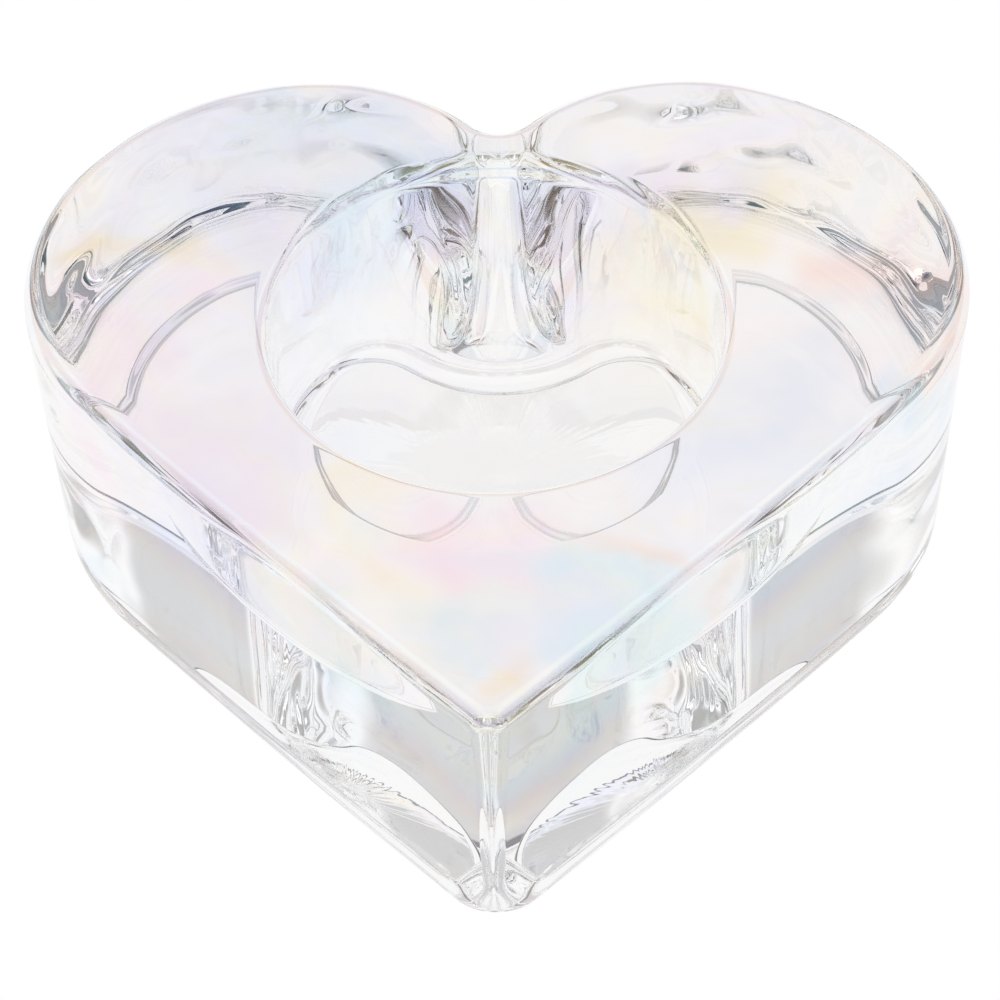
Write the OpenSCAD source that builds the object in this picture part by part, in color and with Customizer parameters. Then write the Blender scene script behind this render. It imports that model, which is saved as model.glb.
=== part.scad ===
// Heart-shaped dish of thick pressed glass, made in one piece.
// A solid heart block with a well sunk in its flat top. The well has a round
// mouth and a heart-shaped floor, so its back wall slopes in below the cleft.
// Millimetres, +Z up, cleft at +Y, point at -Y, origin under the middle of the
// block on the surface it stands on.

/* [Heart] */
// Overall width across the two lobes
heart_w = 90; // [84:1:110]
// Height from the table to the flat top
heart_h = 35; // [32:0.5:40]
// Slope of the outer wall away from upright, in degrees
wall_draft = 3; // [1:0.5:3.5]

/* [Edges] */
// Rounding of the edge round the top
top_edge_r = 2.1; // [1:0.1:2.2]
// Rounding of the edge round the base
base_edge_r = 4.9; // [3:0.1:5]
// Radius of the upright corner at the point of the heart
corner_r = 2.6; // [2.4:0.1:4]
// Radius that the same corner grows to at the base
base_corner_r = 8.3; // [8:0.1:10]
// Height above the base where that corner starts to grow
base_corner_h = 10.8; // [8:0.2:14]

/* [Underside] */
// Width of the flat foot that the block stands on
foot_w = 0.8; // [0.8:0.1:2]
// Depth of the shallow recess inside the foot
recess_depth = 1.2; // [0.4:0.1:1.5]
// Width of the slope from the foot into the recess
recess_slope = 2.8; // [1:0.1:3]

/* [Well] */
// Width of the well's round mouth
well_w = 46.4; // [42:0.2:47]
// Depth of the well below the flat top
well_depth = 19.5; // [12:0.5:22]
// Slope of the well's wall away from upright at its front and sides, in degrees
well_draft = 1.5; // [1:0.5:4]
// How far the notch at the back of the floor comes in, as a share of its radius
notch_share = 0.48; // [0.4:0.02:0.5]
// Rounding of the rim of the well
rim_r = 1.7; // [0.5:0.1:2]
// Rounding where the well's wall meets its floor
floor_r = 2.2; // [1.4:0.1:2.4]

/* [Smoothness] */
// Steps along each quarter turn of a rounded edge
edge_steps = 4; // [3:1:6]

/* [Hidden] */
glass_tint = [0.90, 0.91, 0.95, 0.6];

// ---- The outline of the heart at its widest level, right half ----
// It runs from the cleft at the back, over the lobe and down the flank to the
// point at the front, as six arcs that meet tangent. Sizes follow the width.
cleft_r = 0.0374 * heart_w;      // hollow of the cleft
lobe_r = 0.2426 * heart_w;       // back of the lobe
shoulder_r = 0.3173 * heart_w;   // shoulder of the lobe
side_r = 0.2963 * heart_w;       // widest part of the side
flank_r = 11.93 * heart_w;       // the nearly straight flank
lobe_x = 0.2003 * heart_w;       // centre of the lobe's arc, off the mid-plane
lobe_end = 78.7;                 // direction in which the lobe's arc ends
shoulder_end = 31.2;             // direction in which the shoulder ends
side_end = -42.55;               // direction in which the side ends

function dir(a) = [cos(a), sin(a)];

// Arc centres, first on the line through the lobe centres
lobe_c0 = [lobe_x, 0];
cleft_c0 = [0, sqrt(pow(cleft_r + lobe_r, 2) - pow(lobe_x, 2))];
shoulder_c0 = lobe_c0 + (lobe_r - shoulder_r) * dir(lobe_end);
side_c0 = shoulder_c0 + (shoulder_r - side_r) * dir(shoulder_end);
flank_c0 = side_c0 + (side_r - flank_r) * dir(side_end);
function corner_y0(r) = flank_c0.y - sqrt(pow(flank_r - r, 2) - pow(flank_c0.x, 2));

// Everything then moves so that the block is centred front to back
back_y = lobe_r;
front_y = corner_y0(corner_r) - corner_r;
shift = [0, -(back_y + front_y) / 2];
cleft_c = cleft_c0 + shift;
lobe_c = lobe_c0 + shift;
shoulder_c = shoulder_c0 + shift;
side_c = side_c0 + shift;
flank_c = flank_c0 + shift;
function corner_c(r) = [0, corner_y0(r) + shift.y];

// Directions in which neighbouring arcs meet
cleft_end = atan2(lobe_c.y - cleft_c.y, lobe_c.x);
lobe_start = 180 + cleft_end;
function flank_end(r) = atan2(corner_c(r).y - flank_c.y, -flank_c.x);

// Points of an arc as [point, outward direction], without its last point.
// side is 1 for a bulging arc and -1 for a hollow one.
function arc(c, r, from, to, steps, side = 1) =
    [for (i = [0:steps - 1])
        let (a = from + (to - from) * i / steps)
        [c + r * dir(a), side * dir(a)]];

// The right half of the outline for a front corner of radius r
function half_outline(r) = concat(
    arc(cleft_c, cleft_r, -90, cleft_end, 4, -1),
    arc(lobe_c, lobe_r, lobe_start, lobe_end, 15),
    arc(shoulder_c, shoulder_r, lobe_end, shoulder_end, 7),
    arc(side_c, side_r, shoulder_end, side_end, 12),
    arc(flank_c, flank_r, side_end, flank_end(r), 12),
    arc(corner_c(r), r, flank_end(r), -90, 6),
    [[corner_c(r) - [0, r], [0, -1]]]);

// The points of a half outline moved inwards by inset
function half_ring(half, inset) = [for (p = half) p[0] - inset * p[1]];

// A half ring and its mirror image, as one closed ring at height z
function full_ring(half, z) = concat(
    [for (p = half) [p.x, p.y, z]],
    [for (i = [len(half) - 2:-1:1]) [-half[i].x, half[i].y, z]]);

// ---- The outside of the block, from the base up ----
function ease(t) = t * t * (3 - 2 * t);
function corner_at(z) = corner_r
    + (base_corner_r - corner_r) * ease(max(0, 1 - z / base_corner_h));
function draft_at(z) = (heart_h - top_edge_r - min(z, heart_h - top_edge_r)) * tan(wall_draft);

// Levels are [height, rounding inset]
base_levels = [for (i = [0:edge_steps])
    let (a = 90 * i / edge_steps)
    [base_edge_r * (1 - cos(a)), base_edge_r * (1 - sin(a))]];
growth_steps = 3;
wall_levels = [for (i = [1:growth_steps])
    [base_edge_r + (base_corner_h - base_edge_r) * i / growth_steps, 0]];
top_levels = [for (i = [0:edge_steps])
    let (a = 90 * i / edge_steps)
    [heart_h - top_edge_r * (1 - sin(a)), top_edge_r * (1 - cos(a))]];
outside = [for (level = concat(base_levels, wall_levels, top_levels))
    full_ring(half_ring(half_outline(corner_at(level[0])), level[1] + draft_at(level[0])),
              level[0])];

// ---- The recess in the underside, which leaves the foot as a rim round it ----
recess_inset = base_edge_r + draft_at(0) + foot_w;
recess_half = half_outline(recess_inset + recess_slope + 1.5);
recess = [
    full_ring(half_ring(recess_half, recess_inset - recess_slope), -recess_depth),
    full_ring(half_ring(recess_half, recess_inset), 0),
    full_ring(half_ring(recess_half, recess_inset + recess_slope / 2), recess_depth * 0.75),
    full_ring(half_ring(recess_half, recess_inset + recess_slope), recess_depth)];

// ---- The well ----
// Where its wall meets the floor rounding, its outline is a circle whose back is
// drawn in to two lobes with a notch between them, made of arcs that meet
// tangent. It is drawn about the well's own centre.
well_c = [0, -0.14 * heart_w + shift.y];
well_r = well_w / 2;
floor_z = heart_h - well_depth;
foot_r = well_r - rim_r - (well_depth - rim_r - floor_r) * tan(well_draft);
pocket_r = 0.312 * foot_r;              // each small lobe at the back
pocket_dir = 36;                        // direction of its centre
pocket_c = (foot_r - pocket_r) * dir(pocket_dir);
notch_y = (1 - notch_share) * foot_r;   // tip of the notch
rise = notch_y - pocket_c.y;
// The notch's radius follows from its touching both small lobes
notch_r = (pow(rise, 2) + pow(pocket_c.x, 2) - pow(pocket_r, 2)) / (2 * (pocket_r - rise));
notch_c = [0, notch_y + notch_r];
notch_end = atan2(pocket_c.y - notch_c.y, pocket_c.x);

foot_half = concat(
    arc(notch_c, notch_r, -90, notch_end, 8, -1),
    arc(pocket_c, pocket_r, 180 + notch_end, pocket_dir, 12),
    arc([0, 0], foot_r, pocket_dir, -90, 24),
    [[[0, -foot_r], [0, -1]]]);

// The mouth's half circle of radius r, point for point with the foot
function mouth_half(r) = [for (p = foot_half) r * dir(atan2(p[0].y, p[0].x))];

// Levels are [height, rounding inset]
floor_levels = [for (i = [0:edge_steps])
    let (a = 90 * i / edge_steps)
    [floor_z + floor_r * (1 - cos(a)), floor_r * (1 - sin(a))]];
rim_levels = [for (i = [0:edge_steps])
    let (a = 90 * i / edge_steps)
    [heart_h - rim_r * (1 - sin(a)), rim_r * cos(a)]];
inside = concat(
    [for (level = floor_levels) full_ring(half_ring(foot_half, level[1]), level[0])],
    [for (level = rim_levels) full_ring(mouth_half(well_r - level[1]), level[0])],
    [full_ring(mouth_half(well_r), heart_h + 2)]);

// ---- The solid ----
function flat(lists) = [for (l = lists) each l];

// One closed skin through rings that have the same number of points, bottom first.
// Each end is closed by a fan about a point on the z axis.
module skin(rings) {
    n = len(rings[0]);
    last = len(rings) - 1;
    low_tip = n * len(rings);
    high_tip = low_tip + 1;
    tips = [[0, 0, rings[0][0].z], [0, 0, rings[last][0].z]];
    sides = [for (k = [0:last - 1], i = [0:n - 1])
        let (j = (i + 1) % n)
        [k * n + i, k * n + j, (k + 1) * n + j, (k + 1) * n + i]];
    bottom = [for (i = [0:n - 1]) [low_tip, (i + 1) % n, i]];
    top = [for (i = [0:n - 1]) [high_tip, last * n + i, last * n + (i + 1) % n]];
    polyhedron(points = concat(flat(rings), tips),
               faces = concat(bottom, sides, top), convexity = 6);
}

module glass_heart() {
    color(glass_tint)
        difference() {
            skin(outside);
            skin(recess);
            translate([well_c.x, well_c.y, 0])
                skin(inside);
        }
}

glass_heart();
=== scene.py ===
import math

import bmesh
import bpy
import numpy as np
from mathutils import Matrix, Vector, noise


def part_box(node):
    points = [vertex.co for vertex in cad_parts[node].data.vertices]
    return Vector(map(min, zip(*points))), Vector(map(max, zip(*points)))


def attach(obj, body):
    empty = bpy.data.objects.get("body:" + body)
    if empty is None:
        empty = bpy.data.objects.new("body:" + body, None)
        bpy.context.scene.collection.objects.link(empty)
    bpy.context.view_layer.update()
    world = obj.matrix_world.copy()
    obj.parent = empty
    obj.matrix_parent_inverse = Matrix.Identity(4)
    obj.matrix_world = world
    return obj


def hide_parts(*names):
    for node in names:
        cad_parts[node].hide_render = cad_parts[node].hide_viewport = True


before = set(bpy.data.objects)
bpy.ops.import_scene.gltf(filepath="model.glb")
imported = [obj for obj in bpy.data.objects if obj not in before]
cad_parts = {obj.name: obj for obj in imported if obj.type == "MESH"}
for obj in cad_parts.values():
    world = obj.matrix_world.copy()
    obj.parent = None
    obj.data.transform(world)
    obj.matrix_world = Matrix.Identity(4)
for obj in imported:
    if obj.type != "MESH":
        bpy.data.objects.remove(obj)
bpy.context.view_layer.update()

MM = 0.001
scene = bpy.context.scene

# ---------------------------------------------------------------- sizes, in millimetres
# The same heart as the CAD part, made finer. Its height is read from the frame.
low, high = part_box("glass_heart")
HEIGHT = (high.z - low.z) / MM
WIDTH = 90.0            # the CAD's facets stop just short of it

# The block's wall, edges and upright front corner, which is blunter at the base
WALL_DRAFT = 3.0        # degrees
TOP_R = 2.1
BASE_R = 4.9
CORNER_R = 2.6
BASE_CORNER_R = 8.3
BASE_CORNER_H = 10.8

# The well
WELL_R = 23.2
WELL_DEPTH = 19.5
RIM_R = 1.7
FLOOR_R = 2.2
WELL_DRAFT = 1.5        # degrees
NOTCH_SHARE = 0.48      # how far the floor's notch comes in, as a share of its radius
FLOOR_Z = HEIGHT - WELL_DEPTH

# The underside
FOOT_W = 0.8
RECESS_DEPTH = 1.2
RECESS_SLOPE = 2.8
RECESS_CORNER_R = 1.5   # of its front corner, where the recess is innermost

# ---------------------------------------------------------------- fineness of the mesh
# Steps along each arc of half the outline, from the cleft to the point
OUTLINE_STEPS = (12, 60, 30, 40, 48, 22)
FILLET_STEPS = 10
OUTER_WALL_STEPS = 26
WELL_WALL_STEPS = 30
RECESS_STEPS = 12
FOOT_STEPS = 3
TOP_STEPS = 8
CAP_STEPS = 5


# ---------------------------------------------------------------- helpers
def unit(degrees):
    a = math.radians(degrees)
    return np.array([math.cos(a), math.sin(a)])


def direction_of(p):
    return math.degrees(math.atan2(p[1], p[0]))


def smooth(t):
    t = min(1.0, max(0.0, t))
    return t * t * (3 - 2 * t)


def smooth_between(value, start, end):
    return smooth((value - start) / (end - start))


def arc(centre, radius, start, end, steps, side=1):
    """[point, outward normal] pairs along an arc, without its last point."""
    pairs = []
    for i in range(steps):
        d = unit(start + (end - start) * i / steps)
        pairs.append((centre + radius * d, side * d))
    return pairs


def quarter(steps):
    """(across, along) of a quarter turn, both from 0 to 1."""
    turn = [math.pi / 2 * i / steps for i in range(steps + 1)]
    return [(math.sin(a), 1 - math.cos(a)) for a in turn]


def spread(start, end, steps):
    """The rings between two rings, for a flat that is closed without long thin faces."""
    return [start + (end - start) * i / steps for i in range(1, steps)]


def closed_ring(half, z):
    """Half a ring and its mirror image, as one closed ring at height z."""
    mirrored = half[-2:0:-1] * np.array([-1.0, 1.0])
    ring = np.vstack([half, mirrored])
    return np.column_stack([ring, np.full(len(ring), z)])


# ---------------------------------------------------------------- the heart's outline
# Six arcs that meet tangent: cleft, lobe, shoulder, side, flank and front corner
cleft_r = 0.0374 * WIDTH
lobe_r = 0.2426 * WIDTH
shoulder_r = 0.3173 * WIDTH
side_r = 0.2963 * WIDTH
flank_r = 11.93 * WIDTH
lobe_x = 0.2003 * WIDTH
LOBE_END, SHOULDER_END, SIDE_END = 78.7, 31.2, -42.55   # directions in degrees
lobe_c = np.array([lobe_x, 0.0])
cleft_c = np.array([0.0, math.sqrt((cleft_r + lobe_r) ** 2 - lobe_x ** 2)])
shoulder_c = lobe_c + (lobe_r - shoulder_r) * unit(LOBE_END)
side_c = shoulder_c + (shoulder_r - side_r) * unit(SHOULDER_END)
flank_c = side_c + (side_r - flank_r) * unit(SIDE_END)


def corner_y(radius):
    return flank_c[1] - math.sqrt((flank_r - radius) ** 2 - flank_c[0] ** 2)


# Centres the block front to back
shift = np.array([0.0, -(lobe_r + corner_y(CORNER_R) - CORNER_R) / 2])


def half_outline(corner_radius):
    """Points and outward normals of the right half, from the cleft to the point."""
    corner_c = np.array([0.0, corner_y(corner_radius)])
    cleft_end = math.degrees(math.atan2(-cleft_c[1], lobe_x))
    flank_end = math.degrees(math.atan2(corner_c[1] - flank_c[1], -flank_c[0]))
    n = OUTLINE_STEPS
    pairs = (
        arc(cleft_c, cleft_r, -90, cleft_end, n[0], -1)
        + arc(lobe_c, lobe_r, 180 + cleft_end, LOBE_END, n[1])
        + arc(shoulder_c, shoulder_r, LOBE_END, SHOULDER_END, n[2])
        + arc(side_c, side_r, SHOULDER_END, SIDE_END, n[3])
        + arc(flank_c, flank_r, SIDE_END, flank_end, n[4])
        + arc(corner_c, corner_radius, flank_end, -90, n[5])
    )
    pairs.append((corner_c - np.array([0.0, corner_radius]), np.array([0.0, -1.0])))
    points = np.array([p + shift for p, _ in pairs])
    normals = np.array([d for _, d in pairs])
    return points, normals


# ---------------------------------------------------------------- outside of the block
def wall_lean(z):
    top_z = HEIGHT - TOP_R
    return (top_z - min(z, top_z)) * math.tan(math.radians(WALL_DRAFT))


def outside_rings():
    """Rings up the outside, from the foot to the edge of the flat top."""
    levels = [(BASE_R * along, BASE_R * (1 - across)) for across, along in quarter(FILLET_STEPS)]
    wall_h = HEIGHT - TOP_R - BASE_R
    levels += [(BASE_R + wall_h * i / OUTER_WALL_STEPS, 0.0) for i in range(1, OUTER_WALL_STEPS)]
    levels += [(HEIGHT - TOP_R * (1 - across), TOP_R * along)
               for across, along in quarter(FILLET_STEPS)]
    rings = []
    for z, inset in levels:
        grow = smooth(1 - z / BASE_CORNER_H)
        points, normals = half_outline(CORNER_R + (BASE_CORNER_R - CORNER_R) * grow)
        rings.append(closed_ring(points - (inset + wall_lean(z)) * normals, z))
    return rings


# ---------------------------------------------------------------- the underside
def recess_rings():
    """Rings of the underside's shallow recess, from its flat out to the foot."""
    inset = BASE_R + wall_lean(0) + FOOT_W
    points, normals = half_outline(inset + RECESS_SLOPE + RECESS_CORNER_R)
    rings = []
    for i in range(RECESS_STEPS + 1):
        t = i / RECESS_STEPS
        half = points - (inset + RECESS_SLOPE * (1 - t)) * normals
        rings.append(closed_ring(half, RECESS_DEPTH * (1 - smooth(t))))
    return rings


# ---------------------------------------------------------------- the well
# Round at its mouth. Its foot is a circle whose back is drawn in to two small
# lobes, the pockets, with a notch between them.
WELL_AHEAD = 0.14 * WIDTH    # of the lobes' centres
POCKET_SHARE = 0.312         # a pocket's radius, as a share of the foot's
POCKET_DIR = 36.0            # degrees
well_c = np.array([0.0, -WELL_AHEAD]) + shift
wall_run = (WELL_DEPTH - RIM_R - FLOOR_R) * math.tan(math.radians(WELL_DRAFT))
foot_r = WELL_R - RIM_R - wall_run
pocket_r = POCKET_SHARE * foot_r
pocket_c = (foot_r - pocket_r) * unit(POCKET_DIR)
notch_y = (1 - NOTCH_SHARE) * foot_r
rise = notch_y - pocket_c[1]
# The notch's radius follows from its touching both pockets
notch_r = (rise ** 2 + pocket_c[0] ** 2 - pocket_r ** 2) / (2 * (pocket_r - rise))
notch_c = np.array([0.0, notch_y + notch_r])


def foot_reach(direction, inset):
    """How far the well's foot reaches from its centre, moved in by inset."""
    d = unit(direction)
    meet = notch_c + (notch_r + inset) * unit(direction_of(pocket_c - notch_c))
    if direction > direction_of(meet):
        along = d @ notch_c
        return along - math.sqrt(max(0.0, along ** 2 - notch_c @ notch_c + (notch_r + inset) ** 2))
    if direction > POCKET_DIR:
        along = d @ pocket_c
        return along + math.sqrt(max(0.0, along ** 2 - pocket_c @ pocket_c + (pocket_r - inset) ** 2))
    return foot_r - inset


def well_rings(directions):
    """Rings down the well, from its rim to its floor, along the given directions."""
    rings = []

    def add(z, reach):
        half = np.array([well_c + reach(a) * unit(a) for a in directions])
        rings.append(closed_ring(half, z))

    for across, along in quarter(FILLET_STEPS):
        add(HEIGHT - RIM_R * along, lambda a: WELL_R - RIM_R * across)
    top_z, foot_z = HEIGHT - RIM_R, FLOOR_Z + FLOOR_R
    for i in range(1, WELL_WALL_STEPS):
        t = i / WELL_WALL_STEPS
        add(top_z + (foot_z - top_z) * t,
            lambda a: (WELL_R - RIM_R) * (1 - t) + foot_reach(a, 0) * t)
    for across, along in quarter(FILLET_STEPS):
        add(FLOOR_Z + FLOOR_R * (1 - across), lambda a: foot_reach(a, FLOOR_R * along))
    return rings


# ---------------------------------------------------------------- one closed skin
# The flats close on these two points, of which the floor's lies clear of the notch
FLOOR_CENTRE_AHEAD = 2.0
base_centre = np.array([0.0, well_c[1], RECESS_DEPTH])
floor_centre = np.array([0.0, well_c[1] - FLOOR_CENTRE_AHEAD, FLOOR_Z])


def heart_rings():
    """All rings, from the middle of the underside to the middle of the well's floor."""
    recess = recess_rings()
    outside = outside_rings()
    top_edge = outside[-1]
    half_count = len(top_edge) // 2 + 1
    directions = [math.degrees(math.atan2(p[1] - well_c[1], p[0])) for p in top_edge[:half_count]]
    # Exactly on the mid-plane
    directions[0], directions[-1] = 90.0, -90.0
    well = well_rings(directions)
    rings = spread(base_centre, recess[0], CAP_STEPS) + recess
    rings += spread(recess[-1], outside[0], FOOT_STEPS) + outside
    rings += spread(top_edge, well[0], TOP_STEPS) + well
    return rings + spread(floor_centre, well[-1], CAP_STEPS)[::-1]


def skin_faces(ring_count, count):
    """Faces between rings of count points, closed by a fan at each end."""
    faces = []
    for k in range(ring_count - 1):
        for i in range(count):
            j = (i + 1) % count
            faces.append((k * count + i, k * count + j, (k + 1) * count + j, (k + 1) * count + i))
    first_tip = ring_count * count
    last = (ring_count - 1) * count
    for i in range(count):
        j = (i + 1) % count
        faces.append((first_tip, j, i))
        faces.append((first_tip + 1, last + i, last + j))
    return faces


rings = heart_rings()
points = np.vstack(rings + [base_centre[None], floor_centre[None]])

mesh = bpy.data.meshes.new("glass_heart_visual")
mesh.from_pydata([tuple(p * MM) for p in points], [], skin_faces(len(rings), len(rings[0])))
mesh.update()
work = bmesh.new()
work.from_mesh(mesh)
bmesh.ops.recalc_face_normals(work, faces=work.faces)
work.to_mesh(mesh)
work.free()
mesh.update()

# ---------------------------------------------------------------- the glass's gentle waviness
# Heights of the waves, either way, in millimetres
SLOW_WAVE = 0.05        # all over the outside
WELL_WAVE = 0.02        # the same inside the well
WALL_STREAK = 0.02      # upright streaks on the outer wall
LOW_STREAK = 0.06       # added to them towards the base
BACK_DIMPLE = 0.52      # dimples on the back wall, which darken the backs of the lobes

# Lengths of the waves, and where they are strong, in millimetres
SLOW_LENGTH = 17.0
STREAK_ACROSS, STREAK_UPRIGHT = 9.0, 16.0
DIMPLE_ACROSS, DIMPLE_UPRIGHT = 7.0, 8.0
LOW_STREAK_TOP = 16.0
BACK_START, BACK_FULL = 14, 26              # towards the back
BACK_FACING = 0.5                           # how far a wall faces back for full dimples
CLEFT_EDGE, LOBE_EDGE = 7, 14               # off the mid-plane
CLEFT_SHARE = 0.3                           # of the dimples behind the cleft

WAVE_SEED = Vector((3.1, 7.7, 1.9))


def waviness(p, normal):
    """How far pressed glass strays from true there, along its normal, in millimetres."""
    slow = noise.noise(p / SLOW_LENGTH + WAVE_SEED)
    outward = normal.x * (p.x - well_c[0]) + normal.y * (p.y - well_c[1])
    if outward < 0:
        return WELL_WAVE * slow
    streak = noise.noise(Vector((p.x / STREAK_ACROSS, p.y / STREAK_ACROSS, p.z / STREAK_UPRIGHT))
                         + WAVE_SEED * 2)
    dimple = noise.noise(Vector((p.x / DIMPLE_ACROSS, p.y / DIMPLE_ACROSS, p.z / DIMPLE_UPRIGHT))
                         + WAVE_SEED * 3)
    low_part = smooth(1 - p.z / LOW_STREAK_TOP)
    on_lobe = CLEFT_SHARE + (1 - CLEFT_SHARE) * smooth_between(abs(p.x), CLEFT_EDGE, LOBE_EDGE)
    back_part = (smooth_between(p.y, BACK_START, BACK_FULL)
                 * smooth_between(normal.y, 0, BACK_FACING) * on_lobe)
    on_wall = 1 - abs(normal.z)
    walls = (WALL_STREAK + LOW_STREAK * low_part) * streak + BACK_DIMPLE * back_part * dimple
    return SLOW_WAVE * slow + on_wall * walls


# The underside and the flat top stay true. Every move is worked out before the
# first is made, so that all the normals are those of the true surface.
BASE_MARGIN, TOP_MARGIN = 0.05, 0.01
moves = []
for v in mesh.vertices:
    p = v.co / MM
    stays = p.z < RECESS_DEPTH + BASE_MARGIN or p.z > HEIGHT - TOP_MARGIN
    amount = 0.0 if stays else waviness(p, v.normal)
    moves.append(v.normal * amount * MM)
for v, move in zip(mesh.vertices, moves):
    v.co += move
for poly in mesh.polygons:
    poly.use_smooth = True
mesh.update()

heart = bpy.data.objects.new("glass_heart_visual", mesh)
scene.collection.objects.link(heart)


# ---------------------------------------------------------------- nodes
# Sockets of the Mix node, whose names are shared between its kinds of data
MIX_FACTOR = 0
MIX_FLOAT_A, MIX_FLOAT_B, MIX_FLOAT_RESULT = 2, 3, 0
MIX_COLOUR_A, MIX_COLOUR_B, MIX_COLOUR_RESULT = 6, 7, 2


def node(tree, kind, inputs=None, links=None, **settings):
    """A new node, with plain values for some inputs and links into others."""
    n = tree.nodes.new(kind)
    for name, value in settings.items():
        setattr(n, name, value)
    for socket, value in (inputs or {}).items():
        n.inputs[socket].default_value = value
    for socket, source in (links or {}).items():
        tree.links.new(source, n.inputs[socket])
    return n


def map_range(tree, value, start, end, low_value=0.0, high_value=1.0, eased=False):
    """low_value where value is start, and high_value where it is end."""
    inputs = {"From Min": start, "From Max": end, "To Min": low_value, "To Max": high_value}
    kind = "SMOOTHSTEP" if eased else "LINEAR"
    return node(tree, "ShaderNodeMapRange", inputs, {"Value": value},
                interpolation_type=kind).outputs[0]


def times(tree, a, b):
    return node(tree, "ShaderNodeMath", links={0: a, 1: b}, operation="MULTIPLY").outputs[0]


def noise_texture(tree, place, scale, detail, distortion=0.0):
    inputs = {"Scale": scale, "Detail": detail, "Distortion": distortion}
    return node(tree, "ShaderNodeTexNoise", inputs, {"Vector": place})


def new_material(name):
    material = bpy.data.materials.new(name)
    material.use_nodes = True
    material.node_tree.nodes.clear()
    return material, material.node_tree


def by_ray(tree, to_glass, to_camera):
    """to_camera for the camera's own rays, and to_glass for rays by way of the glass."""
    rays = node(tree, "ShaderNodeLightPath")
    links = {0: rays.outputs["Is Camera Ray"], 1: to_glass.outputs[0], 2: to_camera.outputs[0]}
    return node(tree, "ShaderNodeMixShader", links=links).outputs[0]


# ---------------------------------------------------------------- the glass
GLASS_IOR, FILM_IOR = 1.52, 1.9
FILM_FOOT, FILM_FULL = 9, 29                # heights between which the film sets in, in mm
FILM_THIN, FILM_THICK = 165.0, 262.0        # nanometres
BARE_TINT = (0.990, 0.985, 0.990)           # of the glass below the film
HAZE_ROUGHNESS = 0.02                       # at the most
RIPPLE_STRENGTH, RIPPLE_HEIGHT = 0.04, 0.2  # the height in mm

# Tints in the fine clouds, by their place on the scale from 0 to 1
CLOUD_TINTS = [
    (0.00, (1.00, 0.945, 0.975)), (0.22, (0.925, 0.955, 1.00)), (0.42, (0.985, 0.990, 1.00)),
    (0.58, (1.00, 0.980, 0.890)), (0.76, (1.00, 0.925, 0.960)), (1.00, (0.930, 0.935, 1.00)),
]

# Pools of colour in the film: x, y and radius in millimetres, and the tint
POOLS = [
    (-27, 23, 24, (0.74, 0.76, 1.00)), (-12, 31, 13, (0.70, 0.86, 1.00)),
    (-38, 14, 8, (1.00, 0.84, 0.50)), (-37, 3, 11, (1.00, 0.82, 0.94)),
    (12, 27, 10, (0.86, 0.82, 1.00)), (19, 24, 11, (1.00, 0.90, 0.58)),
    (38, 15, 11, (1.00, 0.72, 0.66)), (43, 4, 10, (0.62, 0.79, 1.00)),
    (-24, -8, 15, (0.88, 0.82, 1.00)), (26, -8, 15, (0.80, 0.87, 1.00)),
    (2, -19, 10, (1.00, 0.78, 0.90)), (-7, -27, 11, (0.70, 0.88, 1.00)),
    (8, -29, 10, (0.70, 0.92, 1.00)), (14, -24, 7, (1.00, 0.80, 0.68)),
    (0, -38, 9, (1.00, 0.82, 0.56)), (-11, -14, 9, (1.00, 0.92, 0.72)),
]
POOL_DRIFT = 0.045      # how far the noise's full swing shifts the pools, in metres


def film_thickness(tree, place, fade):
    """In nanometres. It drifts in broad clouds and thins out with the fade."""
    clouds = noise_texture(tree, place, scale=26, detail=2, distortion=0.6)
    return times(tree, map_range(tree, clouds.outputs[0], 0.25, 0.75, FILM_THIN, FILM_THICK), fade)


def cloud_tint(tree, place, fade):
    """Pastel clouds where the film lies, and nearly plain glass below it."""
    tint_noise = noise_texture(tree, place, scale=46, detail=4, distortion=1.6)
    widened = map_range(tree, tint_noise.outputs[0], 0.3, 0.7)
    ramp = node(tree, "ShaderNodeValToRGB", links={0: widened})
    elements = ramp.color_ramp.elements
    while len(elements) < len(CLOUD_TINTS):
        elements.new(0.5)
    for element, (position, colour) in zip(elements, CLOUD_TINTS):
        element.position = position
        element.color = (*colour, 1)
    return node(tree, "ShaderNodeMix", {MIX_COLOUR_A: (*BARE_TINT, 1)},
                {MIX_FACTOR: fade, MIX_COLOUR_B: ramp.outputs[0]},
                data_type="RGBA").outputs[MIX_COLOUR_RESULT]


def with_pools(tree, place, fade, colour):
    """colour with the pools laid over it, their edges bent by noise."""
    drift = noise_texture(tree, place, scale=60, detail=3)
    centred = node(tree, "ShaderNodeVectorMath", {1: (0.5, 0.5, 0.5)},
                   {0: drift.outputs["Color"]}, operation="SUBTRACT")
    bent = node(tree, "ShaderNodeVectorMath", {1: (POOL_DRIFT, POOL_DRIFT, POOL_DRIFT)},
                {0: centred.outputs[0], 2: place}, operation="MULTIPLY_ADD")
    from_above = node(tree, "ShaderNodeVectorMath", {1: (1, 1, 0)}, {0: bent.outputs[0]},
                      operation="MULTIPLY")
    for x, y, radius, pool_colour in POOLS:
        away = node(tree, "ShaderNodeVectorMath", {1: (x * MM, y * MM, 0)},
                    {0: from_above.outputs[0]}, operation="DISTANCE")
        share = map_range(tree, away.outputs["Value"], radius * MM, 0, eased=True)
        pool = node(tree, "ShaderNodeMix", {MIX_COLOUR_B: (*pool_colour, 1)},
                    {MIX_FACTOR: times(tree, share, fade), MIX_COLOUR_A: colour},
                    data_type="RGBA", blend_type="MULTIPLY")
        colour = pool.outputs[MIX_COLOUR_RESULT]
    return colour


def haze(tree, place):
    """Roughness: fire-polished and nearly perfect, with faint marks of handling."""
    marks = noise_texture(tree, place, scale=90, detail=4)
    return map_range(tree, marks.outputs[0], 0.45, 0.8, 0.0, HAZE_ROUGHNESS)


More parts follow.
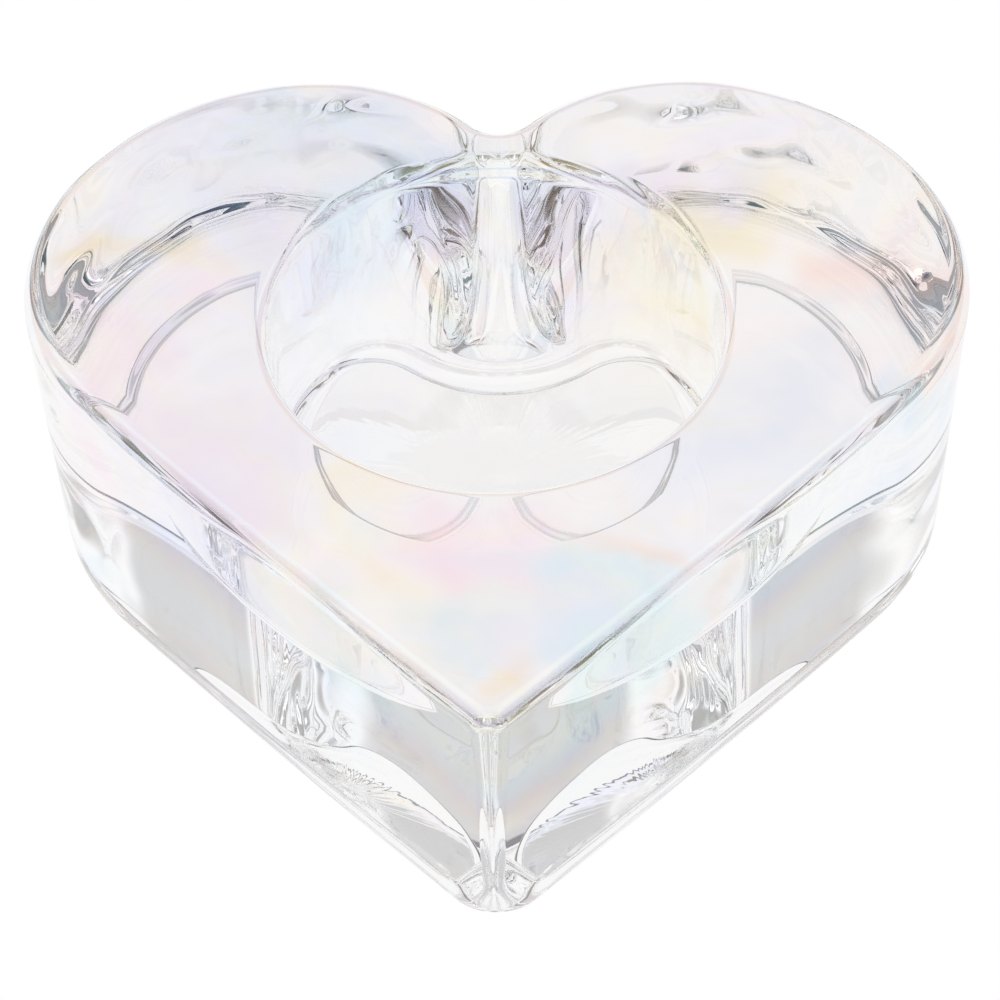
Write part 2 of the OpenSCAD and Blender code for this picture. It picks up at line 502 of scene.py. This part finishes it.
def ripple(tree, place):
    """Normals of a surface that is very slightly uneven."""
    uneven = noise_texture(tree, place, scale=110, detail=1)
    return node(tree, "ShaderNodeBump",
                {"Strength": RIPPLE_STRENGTH, "Distance": RIPPLE_HEIGHT * MM},
                {"Height": uneven.outputs[0]}).outputs[0]


def lustre_glass():
    """Clear glass whose top carries a thin iridescent film that fades down the walls."""
    material, tree = new_material("lustre_glass")
    place = node(tree, "ShaderNodeTexCoord").outputs["Object"]
    split = node(tree, "ShaderNodeSeparateXYZ", links={0: place})
    fade = map_range(tree, split.outputs["Z"], FILM_FOOT * MM, FILM_FULL * MM, eased=True)
    shader = node(
        tree, "ShaderNodeBsdfPrincipled",
        {"IOR": GLASS_IOR, "Transmission Weight": 1.0, "Thin Film IOR": FILM_IOR},
        {"Base Color": with_pools(tree, place, fade, cloud_tint(tree, place, fade)),
         "Roughness": haze(tree, place),
         "Normal": ripple(tree, place),
         "Thin Film Thickness": film_thickness(tree, place, fade)})
    node(tree, "ShaderNodeOutputMaterial", links={"Surface": shader.outputs[0]})
    return material


mesh.materials.append(lustre_glass())
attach(heart, "root")
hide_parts("glass_heart")

# ---------------------------------------------------------------- floor
WHITE = (1, 1, 1, 1)
TABLE_HALF = 3.0        # metres
TABLE_DROP = 0.0001     # metres below the glass, so that the two never share a plane
TABLE_LEVEL = 0.96      # what the glass sees of it, as a share of plain white


def light_table():
    """A plain white floor that the glass sees very slightly greyer."""
    material, tree = new_material("light_table")
    to_camera = node(tree, "ShaderNodeEmission", {"Color": WHITE, "Strength": 1.0})
    to_glass = node(tree, "ShaderNodeEmission", {"Color": WHITE, "Strength": TABLE_LEVEL})
    surface = by_ray(tree, to_glass, to_camera)
    node(tree, "ShaderNodeOutputMaterial", links={"Surface": surface})
    return material


floor_mesh = bpy.data.meshes.new("floor")
corners = [(-1, -1), (1, -1), (1, 1), (-1, 1)]
floor_mesh.from_pydata([(x * TABLE_HALF, y * TABLE_HALF, -TABLE_DROP) for x, y in corners],
                       [], [(0, 1, 2, 3)])
floor_mesh.materials.append(light_table())
floor = bpy.data.objects.new("floor", floor_mesh)
scene.collection.objects.link(floor)

# ---------------------------------------------------------------- studio
# What the glass sees round it, as shares of plain white. Angles are in degrees,
# elevations up from the table and azimuths round from the front of the heart.
# The tent is dimmer overhead, from the first elevation to the second
OVERHEAD, OVERHEAD_LEVEL = (50, 85), 0.8
# The dark gap between the table and the foot of the tent draws the glass's edges.
# Each of its two edges goes from outside the gap to inside it.
GAP_FOOT, GAP_TOP, GAP_LEVEL = (-1, 3), (32, 24), 0.05
# Patches: azimuth, elevation, inner and outer radius, and level
SCREEN = (180, 48, 24, 36, 0.58)
GAP_SIDES = [(-90, 12, 28, 46, 0.36), (90, 12, 28, 46, 0.36)]
LIGHTS = [(-95, 14, 8, 14, 1.3), (95, 14, 8, 14, 1.3), (0, 20, 5, 10, 1.0)]


def sine(degrees):
    return math.sin(math.radians(degrees))


def cosine(degrees):
    return math.cos(math.radians(degrees))


def towards(azimuth, elevation):
    """The direction in the sky with that azimuth and elevation."""
    return (sine(azimuth) * cosine(elevation), -cosine(azimuth) * cosine(elevation),
            sine(elevation))


def by_elevation(tree, up_down, start, end, low_value=0.0, high_value=1.0):
    """low_value at the elevation start and high_value at end, eased in between."""
    return map_range(tree, up_down, sine(start), sine(end), low_value, high_value, eased=True)


def toned(tree, level, share, tone):
    """level pulled to the plain value tone where share is 1."""
    return node(tree, "ShaderNodeMix", {MIX_FLOAT_B: tone},
                {MIX_FACTOR: share, MIX_FLOAT_A: level},
                data_type="FLOAT").outputs[MIX_FLOAT_RESULT]


def patched(tree, level, direction, patch):
    """level with one soft round patch laid over it."""
    azimuth, elevation, inner, outer, tone = patch
    closeness = node(tree, "ShaderNodeVectorMath", {1: towards(azimuth, elevation)},
                     {0: direction}, operation="DOT_PRODUCT")
    share = map_range(tree, closeness.outputs["Value"], cosine(outer), cosine(inner), eased=True)
    return toned(tree, level, share, tone)


def studio_level(tree, direction):
    """A bright tent, dimmer overhead, with a grey screen high behind the heart, a
    dark gap low down that is lighter at the sides, and three lights in the gap."""
    up_down = node(tree, "ShaderNodeSeparateXYZ", links={0: direction}).outputs["Z"]
    level = by_elevation(tree, up_down, *OVERHEAD, 1.0, OVERHEAD_LEVEL)
    level = patched(tree, level, direction, SCREEN)
    above_foot = by_elevation(tree, up_down, *GAP_FOOT)
    below_top = by_elevation(tree, up_down, *GAP_TOP)
    level = toned(tree, level, times(tree, above_foot, below_top), GAP_LEVEL)
    for patch in GAP_SIDES + LIGHTS:
        level = patched(tree, level, direction, patch)
    return level


def studio():
    """Plain white to the camera, and the studio's levels to the glass."""
    world = bpy.data.worlds.new("studio")
    world.use_nodes = True
    tree = world.node_tree
    tree.nodes.clear()
    direction = node(tree, "ShaderNodeTexCoord").outputs["Generated"]
    to_camera = node(tree, "ShaderNodeBackground", {"Color": WHITE})
    to_glass = node(tree, "ShaderNodeBackground", {"Color": WHITE},
                    {"Strength": studio_level(tree, direction)})
    node(tree, "ShaderNodeOutputWorld", links={"Surface": by_ray(tree, to_glass, to_camera)})
    # Glass finds the studio along its own rays, so the studio isn't sampled as a lamp
    world.cycles.sampling_method = "NONE"
    return world


scene.world = studio()

# ---------------------------------------------------------------- camera
# Angles in degrees, the azimuth and the roll being the photo's slight turn and tilt
CAMERA_AZIMUTH, CAMERA_ELEVATION, CAMERA_ROLL = -1.744, 46.99, 1.553
CAMERA_DISTANCE = 418.6 * MM
CAMERA_TARGET = Vector((0.22, 0.40, 17.45)) * MM
SENSOR, LENS = 36, 157.5    # millimetres
CLIP_START = 0.01           # metres

azimuth, elevation, roll = map(math.radians, (CAMERA_AZIMUTH, CAMERA_ELEVATION, CAMERA_ROLL))
forward = Vector((math.sin(azimuth) * math.cos(elevation),
                  math.cos(azimuth) * math.cos(elevation), -math.sin(elevation)))
level_right = Vector((math.cos(azimuth), -math.sin(azimuth), 0))
level_up = level_right.cross(forward)
right = math.cos(roll) * level_right - math.sin(roll) * level_up
up = math.sin(roll) * level_right + math.cos(roll) * level_up
stand = CAMERA_TARGET - forward * CAMERA_DISTANCE
camera_data = bpy.data.cameras.new("camera")
camera_data.sensor_width = SENSOR
camera_data.lens = LENS
camera_data.clip_start = CLIP_START
camera = bpy.data.objects.new("camera", camera_data)
scene.collection.objects.link(camera)
camera.matrix_world = Matrix(((right.x, up.x, -forward.x, stand.x),
                              (right.y, up.y, -forward.y, stand.y),
                              (right.z, up.z, -forward.z, stand.z),
                              (0, 0, 0, 1)))
scene.camera = camera

# Light crosses thick glass many times before it leaves
BOUNCES = 20
scene.view_settings.view_transform = "Standard"
scene.cycles.max_bounces = BOUNCES
scene.cycles.transmission_bounces = BOUNCES
scene.cycles.glossy_bounces = BOUNCES
